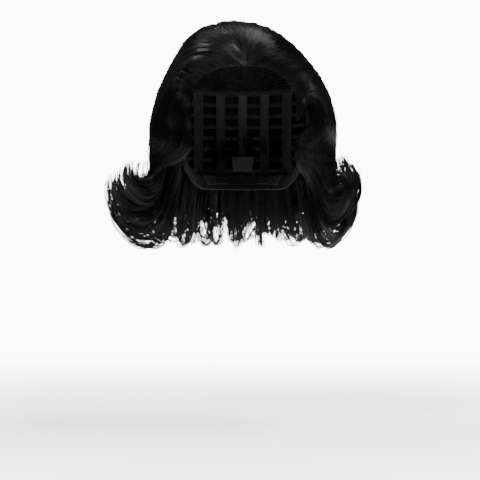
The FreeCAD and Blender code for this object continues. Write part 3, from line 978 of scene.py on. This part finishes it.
def make_net():
    """The crown net, knotted in diamonds, with a hem where the ribbons begin."""
    reach = 150.0
    count = int(2 * reach / NET_CELL)
    shape = bmesh.new()
    bmesh.ops.create_grid(shape, x_segments=count, y_segments=count, size=reach)
    high = np.array(sorted(FRONT_HIGH))
    outside = []
    for vert in shape.verts:
        x, y = (vert.co.x - vert.co.y) * 0.7071, (vert.co.x + vert.co.y) * 0.7071
        polar_angle = math.hypot(x, y) / NET_RADIUS
        turn = math.atan2(y, x)
        flat = math.sin(min(polar_angle, 2.0))
        place = CENTRE + HEAD * np.array(
            [flat * math.cos(turn), flat * math.sin(turn), math.cos(min(polar_angle, 2.0))]
        )
        edge = max(np.interp(place[1], high[:, 0], high[:, 1]), RIBBON_TOP)
        if polar_angle > 1.35 or place[2] < edge + 0.3:
            outside.append(vert)
        vert.co = on_head(place, 0.5) * MM
    bmesh.ops.delete(shape, geom=outside, context="VERTS")
    holder = sheet_object("crown_net", shape)
    wire = holder.modifiers.new("wire", "WIREFRAME")
    wire.thickness = 0.55 * MM
    wire.use_boundary = True
    on_cap(frozen(holder, "crown_net_mesh", NET), "cap_net", "crown_net")
    at_sides = lambda z: np.array([
        (math.cos(turn) * 100, math.sin(turn) * 100 * HEAD[1] / HEAD[0], z)
        for turn in np.radians(np.linspace(-26, 206, 40))
    ])
    hem = lambda z: np.array([level_point(p, z) for p in at_sides(z)])
    low, top = (hem(height) for height in NET_HEM)
    tape = sheet_between("net_hem", low, top, 0.2, RIBBON_WALL, TAPE, (160, 3))
    on_cap(tape, "cap_tape")
    on_cap(sewn("net_hem_stitching", stitch_lines(low, top, (0.5,), -0.2)), "thread")


def level_point(place, height):
    """The point of the head form at a height, in a place's direction in plan."""
    flat = np.array([place[0] / HEAD[0], place[1] / HEAD[1]])
    flat = flat / np.linalg.norm(flat) * head_level(height)
    return np.array([flat[0] * HEAD[0], flat[1] * HEAD[1], height])


RIBBON_PITCH = 24.5
RIBBON_HALF = 5.0
RIBBON_TOP = 30


def ribbon(name, low, high, along):
    """Ribbed elastic between two lines."""
    return sheet_between(
        f"{name}_elastic", low, high, 0.15, RIBBON_WALL, ELASTIC, (along, 20), ribs(5, 0.14)
    )


def ribbon_lines(x, low, high):
    """The two edges of a back ribbon, from a low to a high level."""
    edges = []
    for offset in (-RIBBON_HALF, RIBBON_HALF):
        edge = []
        for z in np.linspace(low, high, 12):
            edge.append((x + offset, HEAD[1] * head_back(x + offset, z, 0.02), z))
        edges.append(np.array(edge))
    return edges


def make_ribbons():
    """Ribbed elastic from the nape to the net, and a short one over each ear."""
    names = {
        -2: "back_ribbon_right_outer", -1: "back_ribbon_right_inner", 0: "back_ribbon_centre",
        1: "back_ribbon_left_inner", 2: "back_ribbon_left_outer",
    }
    tacks = []
    for count, name in names.items():
        low, high = ribbon_lines(count * RIBBON_PITCH, NAPE_HIGH[-1][1] - 0.5, RIBBON_TOP)
        on_cap(ribbon(name, low, high, 70), "elastic_ribbon", name)
        tacks += bar_tack(low, high, 0.975) + bar_tack(low, high, 0.02)
    for side, name in SIDES:
        low, high = (
            from_side([(y, z) for z in (20.6, 24, 27, RIBBON_TOP)], side)
            for y in (-RIBBON_HALF, RIBBON_HALF)
        )
        name = f"side_ribbon_{name}"
        on_cap(ribbon(name, low, high, 12), "elastic_ribbon", name)
    on_cap(sewn("bar_tack_threads", tacks, 0.3), "thread", "bar_tacks")


def bar_tack(low, high, share):
    """Close zigzag stitches across a ribbon, at a share of its length."""
    last, lean, step = 399, 3, 0.06
    a, b = smooth_line(low, last + 1), smooth_line(high, last + 1)
    middle = int(share * last)
    made = []
    for count in range(13):
        swing = lean if count % 2 else -lean
        near, far = (int(np.clip(middle + off, 0, last)) for off in (swing, -swing))
        v = 0.14 + step * count
        start = a[near] * (1 - v) + b[near] * v
        end = a[far] * (1 - v - step) + b[far] * (v + step)
        line = np.linspace(start, end, 5)
        made.append(on_head(line, -0.15 - 0.25 * np.sin(np.linspace(0, math.pi, 5))))
    return made


# Where each weft row ends at the sides: how far back, for the rows from the nape up.
WEFT_ENDS = (51, 45, 40, 36, 32, 28.5, 23, -30)
WEFT_LOWEST = -58
WEFT_PITCH = 12
WEFT_WIDTH = 4


def make_wefts():
    """Machine wefts: three close rows of stitching with the fibre's roots caught between."""
    roots = []
    for row, end in enumerate(WEFT_ENDS):
        bottom = WEFT_LOWEST + WEFT_PITCH * row
        lines = []
        for z in (bottom, bottom + WEFT_WIDTH):
            side = level_turn(end, z)
            turns = np.linspace(side, math.pi - side, 40)
            lines.append(np.array([
                level_point((math.cos(t) * HEAD[0], math.sin(t) * HEAD[1]), z) for t in turns
            ]))
        low, high = lines
        name = f"weft_row_{row + 1}"
        tape = sheet_between(
            f"{name}_tape", low, high, FABRIC + 0.2, WEFT - 0.3, WEFT_TAPE, (84, 9), ribs(3, 0.22)
        )
        on_cap(tape, "weft_tape", name)
        roots += stitch_lines(low, high, (0.2, 0.5, 0.8), FABRIC - 0.15, pitch=2.6, length=2.1)
    stitches = tubes("weft_stitching", roots, [0.22] * len(roots), THREAD, STRAND_SECTION)
    on_cap(stitches, "thread")
    low, high = across_middle(FRONT_LOW, True), across_middle(FRONT_HIGH, True)
    tape = sheet_between(
        "hairline_weft_tape", low, high, FABRIC + 0.15, WEFT - 0.2, WEFT_TAPE, (120, 18), ribs(5, 0.2)
    )
    on_cap(tape, "weft_tape", "hairline_weft")


def level_turn(y, z):
    """The angle in plan at which the head form at a height is a distance back."""
    return math.asin(np.clip(y / (HEAD[1] * head_level(z)), -1, 1))


def make_tabs():
    """The ear tabs: double cloth with a binding, a row of stitching and a pocket for the stay."""
    for side, name in SIDES:
        low, high = from_side(TAB_LOW, side), from_side(TAB_HIGH, side)
        body = f"tab_{name}"
        cloth = sheet_between(f"ear_tab_{name}_cloth", low, high, 0.1, TAPE_WALL, TAPE, (44, 16))
        on_cap(cloth, "ear_tab_cloth", f"ear_tab_{name}", body=body)
        edge = bound_edge(f"ear_tab_{name}_binding", low, high, 0.5, TAPE, 0.7)
        on_cap(edge, "ear_tab_cloth", body=body)
        rows = stitch_lines(low, high, (0.14,), -0.25, pitch=2.8)
        channel = from_side([(-36.4, z) for z in (3.5, -6, -16, -25)], side)
        channel_end = from_side([(-29.6, z) for z in (3.5, -6, -16, -24)], side)
        rows += stitch_lines(channel, channel_end, (0.0, 1.0), -0.25, pitch=2.8)
        on_cap(sewn(f"ear_tab_{name}_stitching", rows, 0.22), "thread", body=body)
        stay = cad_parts[f"ear_tab_stay_{name}"].data
        stay.materials.clear()
        stay.materials.append(STAY)


NAPE_AXIS = 30.0  # how far back the upright axis of the nape's curve is
STRAP_FOOT = -74.0  # the height of the foot of the straps' tapes

# The strips in the nape: bearings from the middle of the back, heights over the foot, the inset
# from the head's surface, and the wall. The tunnel has its depth in the wall's place.
STRAP = ((20, 62), (1.7, 10.3), 1.98, 0.8)
HOOK_BASE = ((20.3, 35.7), (2.3, 9.7), 1.5, 0.38)
PILE_BASE = ((4, 36), (0.7, 11.3), 0.3, 0.4)
TUNNEL = ((43, 64), (0.3, 11.7), 0.7, 3.1)
LABEL_CLOTH = ((-11.5, 11.5), (16.3, 32.7), 0.45, 0.28)


def nape_point(bearing, height, inset):
    """A point inside the nape.

    The bearing is from the middle of the back, and the height is over the foot of the straps.
    """
    level = (STRAP_FOOT + height - DOME_LOW) / HEAD[2]
    reach = HEAD[1] * math.sqrt(1 - level**2) - NAPE_AXIS - inset
    turn = math.radians(bearing)
    return np.array([
        reach * math.sin(turn), NAPE_AXIS + reach * math.cos(turn), STRAP_FOOT + height
    ])


def nape_cloth(name, bearings, heights, inset, thick, material, cells=(40, 10), relief=None):
    """A strip of cloth that follows the inside of the nape. Its wall is inward of its inset."""
    shape = bmesh.new()
    bmesh.ops.create_grid(
        shape, x_segments=cells[0], y_segments=cells[1], size=1.0, calc_uvs=True
    )
    for vert in shape.verts:
        u, v = (vert.co.x + 1) / 2, (vert.co.y + 1) / 2
        raised = relief(u, v) if relief else 0.0
        vert.co = nape_point(
            np.interp(u, (0, 1), bearings), np.interp(v, (0, 1), heights), inset + raised
        ) * MM
    return walled(name, shape, thick, -1, material)


def sleeve(name, bearings, heights, inset, depth, material):
    """A flat tube of cloth for a strap to run in, open at both ends."""
    shape = bmesh.new()
    bmesh.ops.create_grid(shape, x_segments=30, y_segments=32, size=1.0, calc_uvs=True)
    middle, half = np.mean(heights), (heights[1] - heights[0]) / 2
    for vert in shape.verts:
        u, turn = (vert.co.x + 1) / 2, vert.co.y * math.pi
        flat = abs(math.sin(turn)) ** 0.55 * math.copysign(1, math.sin(turn))
        high = abs(math.cos(turn)) ** 0.8 * math.copysign(1, math.cos(turn))
        swell = 1 + 0.1 * math.sin(u * 22)
        inward = inset + depth * (0.5 + 0.5 * flat * swell)
        vert.co = nape_point(np.interp(u, (0, 1), bearings), middle + half * high, inward) * MM
    bmesh.ops.remove_doubles(shape, verts=shape.verts, dist=1e-6)
    bmesh.ops.recalc_face_normals(shape, faces=shape.faces)
    holder = sheet_object(name, shape)
    wall = holder.modifiers.new("wall", "SOLIDIFY")
    wall.thickness = 0.35 * MM
    wall.offset = -1
    return frozen(holder, name, material)


def make_adjusters():
    """Elastic straps with hook patches, the loop tape they press onto, and their sleeves."""
    for side, name in SIDES:
        body = f"adjuster_{name}"
        turned = lambda near, far: (near, far) if side > 0 else (-far, -near)
        placed = lambda strip: (turned(*strip[0]), *strip[1:])
        strap = nape_cloth(
            f"adjuster_strap_{name}_elastic", *placed(STRAP), ELASTIC, (70, 24), ribs(6, 0.07)
        )
        on_cap(strap, "elastic_strap", f"adjuster_strap_{name}", body=body)
        hooks = nape_cloth(f"hook_patch_{name}_base", *placed(HOOK_BASE), HOOK, (24, 12))
        on_cap(hooks, "hook_fastener", f"hook_patch_{name}", body=body)
        on_cap(hook_field(f"hook_patch_{name}_hooks", turned(20.8, 35.2)), "hook_fastener", body=body)
        pile = nape_cloth(f"pile_tape_{name}_base", *placed(PILE_BASE), PILE, (50, 16))
        on_cap(pile, "pile_fastener", f"pile_tape_{name}")
        on_cap(loop_field(f"pile_tape_{name}_loops", turned(4.6, 35.4)), "pile_fastener")
        tunnel = sleeve(f"strap_tunnel_{name}_sleeve", *placed(TUNNEL), TAPE)
        on_cap(tunnel, "cap_tape", f"strap_tunnel_{name}")
        ends = strap_stitches(turned(21, 35), (2.6, 9.4), 2.85)
        on_cap(sewn(f"adjuster_strap_{name}_stitching", ends, 0.17), "thread", body=body)


def hook_field(name, bearings):
    """Rows of small hooks that face the loop tape."""
    lines = []
    for row, height in enumerate(np.arange(2.8, 9.4, 0.95)):
        for bearing in np.arange(bearings[0] + (row % 2) * 0.5, bearings[1], 1.0):
            lines.append(np.array([
                nape_point(bearing, height, 1.52),
                nape_point(bearing, height + 0.1, 1.28),
                nape_point(bearing + 0.25, height + 0.3, 1.18),
                nape_point(bearing + 0.4, height + 0.35, 1.3),
            ]))
    return tubes(name, lines, [0.1] * len(lines), HOOK, STRAND_SECTION)


def loop_field(name, bearings):
    """A fuzz of small loops over the tape."""
    lines = []
    for _ in range(900):
        bearing, height = rng.uniform(*bearings), rng.uniform(1.1, 10.9)
        lean = rng.uniform(-0.6, 0.6)
        lines.append(np.array([
            nape_point(bearing, height, 0.66),
            nape_point(bearing + 0.2 + lean, height + 0.25, rng.uniform(0.88, 1.0)),
            nape_point(bearing + 0.5 + lean, height, 0.66),
        ]))
    return tubes(name, lines, [0.07] * len(lines), PILE, STRAND_SECTION)


def nape_stitch(start, span, height, inset, rise):
    """One raised stitch inside the nape, from a bearing on."""
    return np.array([
        nape_point(start + step * span, height, inset + rise * math.sin(math.pi * step))
        for step in (0, 0.25, 0.5, 0.75, 1)
    ])


def strap_stitches(bearings, heights, inset):
    """The two rows of stitches that hold a hook patch to its strap."""
    starts = np.arange(bearings[0], bearings[1] - 1.2, 2.2)
    return [nape_stitch(start, 1.4, height, inset, 0.14) for height in heights for start in starts]


def make_label():
    """A plain satin label with no marks, sewn along its top and loose below."""
    hang = lambda u, v: 0.5 + 1.5 * (1 - v) ** 1.6 * (0.75 + 0.25 * math.sin(u * 9 + 1))
    label = nape_cloth("care_label_satin", *LABEL_CLOTH, LABEL, (40, 24), hang)
    on_cap(label, "label", "care_label")
    lines = [nape_stitch(start, 1.5, 31.6, 1.2, 0.2) for start in np.arange(-10.5, 9.6, 2.4)]
    on_cap(sewn("care_label_stitching", lines, 0.2), "thread")


PAD_LOCKS = 130
PAD_REACH = 58  # of its locks' roots, about its middle
PAD_BACK = 14  # how far back its middle is
PAD_FRONT = -34  # no lock goes further forward
PAD_LOW = 46  # nor lower
PAD_LOCK_LENGTH = 34


def make_pad():
    """Teased fibre over the crown: short crimped locks laid every way, in a soft cushion."""
    paths = []
    for _ in range(PAD_LOCKS):
        turn, away = rng.uniform(0, math.tau), PAD_REACH * math.sqrt(rng.uniform(0, 1))
        start = np.array([away * math.cos(turn), PAD_BACK + 0.9 * away * math.sin(turn)])
        heading = rng.uniform(0, math.tau)
        line = []
        for step in np.linspace(0, PAD_LOCK_LENGTH, 7):
            x, y = start + step * np.array([math.cos(heading), math.sin(heading)])
            y = max(y, PAD_FRONT)
            rest = max(1 - (x / HEAD[0]) ** 2 - (y / HEAD[1]) ** 2, 0.35)
            line.append((x, y, DOME_LOW + HEAD[2] * math.sqrt(rest)))
            heading += jitter(0.35)
        line = on_head(np.array(line), rng.uniform(4.5, 9.5))
        line[:, 2] = np.maximum(line[:, 2], PAD_LOW)
        paths.append(smooth_line(line, 14))
    strands = loose_bundle(np.array(paths), 6, 3.4)
    piece = tubes("teased_fibre", strands, [0.32] * len(strands), TEASED, STRAND_SECTION)
    on_cap(piece, "teased_hair", "teased_pad")


def loose_bundle(paths, count, width):
    """Crimped strands about each path."""
    across, out = carried_frames(paths)
    t = np.linspace(0, 1, paths.shape[1])[None, None, :]
    shape = (len(paths), count, 1)
    crimps, swell = 6, 0.7
    side = width * rng.uniform(-1, 1, shape)
    side = side + swell * np.sin(math.tau * (crimps * t + rng.uniform(0, 1, shape)))
    up = 0.5 * width * rng.uniform(-1, 1, shape)
    up = up + swell * np.cos(math.tau * (crimps * t + rng.uniform(0, 1, shape)))
    made = paths[:, None] + side[..., None] * across[:, None] + up[..., None] * out[:, None]
    return made.reshape(-1, paths.shape[1], 3)


def make_cap():
    make_bands()
    make_net()
    make_ribbons()
    make_wefts()
    make_tabs()
    make_adjusters()
    make_label()
    make_pad()


# ---- the dark body of hair under the strands -------------------------------------------------

CORE_DEPTH = 0.055  # how far under the surface it lies, as a share of the dome
CORE_WALL = 2.0


def core_shell(name, bearings, heights, keep, body):
    """A closed shell under the combed surface. Heights are shares: the dome's are over 0."""
    across, down = 64, 34
    shape = bmesh.new()
    bmesh.ops.create_grid(shape, x_segments=across, y_segments=down, size=1.0)
    for vert in shape.verts:
        bearing = np.interp(vert.co.x, (-1, 1), bearings)
        height = np.interp(vert.co.y, (-1, 1), heights)
        turn = math.radians(bearing)
        if height > 0:
            tilt = height * math.pi / 2
            flat = math.cos(tilt)
            direction = np.array([flat * math.cos(turn), flat * math.sin(turn), math.sin(tilt)])
            gap = off_face(CENTRE + HAIR * direction) if direction[1] < 0 else 99
            depth = CORE_DEPTH + 0.08 * math.exp(-max(gap, 0) / 22)
            place = CENTRE + HAIR * direction * (fullness(direction) - depth)
        else:
            side = -1 if math.cos(turn) < 0 else 1
            own = math.degrees(math.asin(np.clip(-math.sin(turn), -1, 1)))
            depth = CORE_DEPTH + 0.05 * ease(own, 0, 26)
            place = polar(bearing, edge_reach(own, depth), DOME_LOW + height * 60)
        vert.co = settle(place) * MM
    spare = [face for face in shape.faces if not keep(np.array(face.calc_center_median()) / MM)]
    bmesh.ops.delete(shape, geom=spare, context="FACES")
    bmesh.ops.remove_doubles(shape, verts=shape.verts, dist=1e-5)
    bmesh.ops.recalc_face_normals(shape, faces=shape.faces)
    made = walled(name, shape, CORE_WALL, -1, HAIR_CORE)
    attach(made, body)
    return made


def lay_core():
    clear = lambda at: at[1] > 0 or off_face(at) > 7.0
    core_shell("hair_core_dome", (-90, 270), (0.0001, 0.999), clear, "cap")
    core_shell("hair_core_fall", (-2, 182), (-0.9, 0.0), clear, "cap")
    for side, name in FROM_RIGHT:
        bearings = (187, 206) if side < 0 else (-26, -12)
        core_shell(f"hair_core_lock_{name}", bearings, (-0.85, 0.0), clear, f"lock_{name}")


lay_hair()
lay_core()
make_cap()
for section in (STRAND_SECTION, CORD_SECTION):
    bpy.data.objects.remove(section)


# ---- floor, light and camera -----------------------------------------------------------------

CAMERA_HEIGHT = -135.0  # level with the middle of the view
CAMERA_AWAY = 2000.0
CAMERA_SIDE = -3.0
VIEW_WIDTH = 518.0  # what the view spans at the head
AMBIENT = 0.06
BACKDROP = 12.0  # what the camera sees behind, brighter than what lights the hair
FLOOR_HALF = 1.4  # in metres, like the floor's height and the lamps' places
FLOOR_HEIGHT = -0.33
FLOOR_GLOW = 1.7
LAMPS = (
    # name, place, size and power
    ("key", (-0.9, -1.5, 1.7), 0.5, 50),
    ("fill", (1.2, -1.6, 1.5), 0.6, 12),
    ("top_left", (0.95, 0.3, 1.75), 1.3, 84),
    ("top_right", (-0.85, 0.75, 1.6), 0.3, 12),
)


def floor_material():
    """A pale floor that fades out all round, so that it has no edge and no horizon."""
    made = new_material(
        "floor_white",
        Base_Color=(0.92, 0.92, 0.92, 1),
        Roughness=0.8,
        Emission_Color=(1, 1, 1, 1),
        Emission_Strength=FLOOR_GLOW,
    )
    place = add_node(made, "ShaderNodeTexCoord")
    away = add_node(made, "ShaderNodeVectorMath", operation="LENGTH")
    link(made, place.outputs["Object"], away.inputs[0])
    fade = add_node(made, "ShaderNodeMapRange", interpolation_type="SMOOTHERSTEP")
    fade.inputs["From Min"].default_value = 0.15
    fade.inputs["From Max"].default_value = FLOOR_HALF
    link(made, away.outputs["Value"], fade.inputs["Value"])
    clear = add_node(made, "ShaderNodeBsdfTransparent")
    either = add_node(made, "ShaderNodeMixShader")
    link(made, fade.outputs["Result"], either.inputs["Fac"])
    link(made, shader_of(made).outputs["BSDF"], either.inputs[1])
    link(made, clear.outputs["BSDF"], either.inputs[2])
    link(made, either.outputs["Shader"], made.node_tree.nodes["Material Output"].inputs["Surface"])
    return made


def set_stage():
    shape = bmesh.new()
    bmesh.ops.create_grid(shape, x_segments=2, y_segments=2, size=FLOOR_HALF)
    floor_mesh = bpy.data.meshes.new("floor")
    shape.to_mesh(floor_mesh)
    shape.free()
    floor_mesh.materials.append(floor_material())
    floor = linked(bpy.data.objects.new("floor", floor_mesh))
    floor.location = (0, 0, FLOOR_HEIGHT)
    floor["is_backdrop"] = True


def set_lights():
    world = bpy.data.worlds.new("studio")
    bpy.context.scene.world = world
    world.use_nodes = True
    tree = world.node_tree
    soft = tree.nodes["Background"]
    soft.inputs["Color"].default_value = (1, 1, 1, 1)
    soft.inputs["Strength"].default_value = AMBIENT
    seen = tree.nodes.new("ShaderNodeBackground")
    seen.inputs["Color"].default_value = (1, 1, 1, 1)
    seen.inputs["Strength"].default_value = BACKDROP
    path = tree.nodes.new("ShaderNodeLightPath")
    either = tree.nodes.new("ShaderNodeMixShader")
    tree.links.new(path.outputs["Is Camera Ray"], either.inputs["Fac"])
    tree.links.new(soft.outputs[0], either.inputs[1])
    tree.links.new(seen.outputs[0], either.inputs[2])
    tree.links.new(either.outputs[0], tree.nodes["World Output"].inputs["Surface"])
    for name, place, size, power in LAMPS:
        lamp = bpy.data.lights.new(name, "AREA")
        lamp.energy = power
        lamp.size = size
        holder = linked(bpy.data.objects.new(name, lamp))
        holder.location = place
        holder.rotation_euler = (-Vector(place)).to_track_quat("-Z", "Y").to_euler()


def set_camera():
    camera = bpy.data.cameras.new("camera")
    camera.sensor_width = 36.0
    camera.lens = camera.sensor_width * CAMERA_AWAY / VIEW_WIDTH
    camera.clip_end = 60.0
    holder = linked(bpy.data.objects.new("camera", camera))
    holder.location = (CAMERA_SIDE * MM, -CAMERA_AWAY * MM, CAMERA_HEIGHT * MM)
    holder.rotation_euler = (math.radians(90), 0, 0)
    bpy.context.scene.camera = holder


set_stage()
set_lights()
set_camera()

({name: [list(corner) for corner in box]
           for name, box in (("cad", cad_box), ("visual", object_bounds()))})
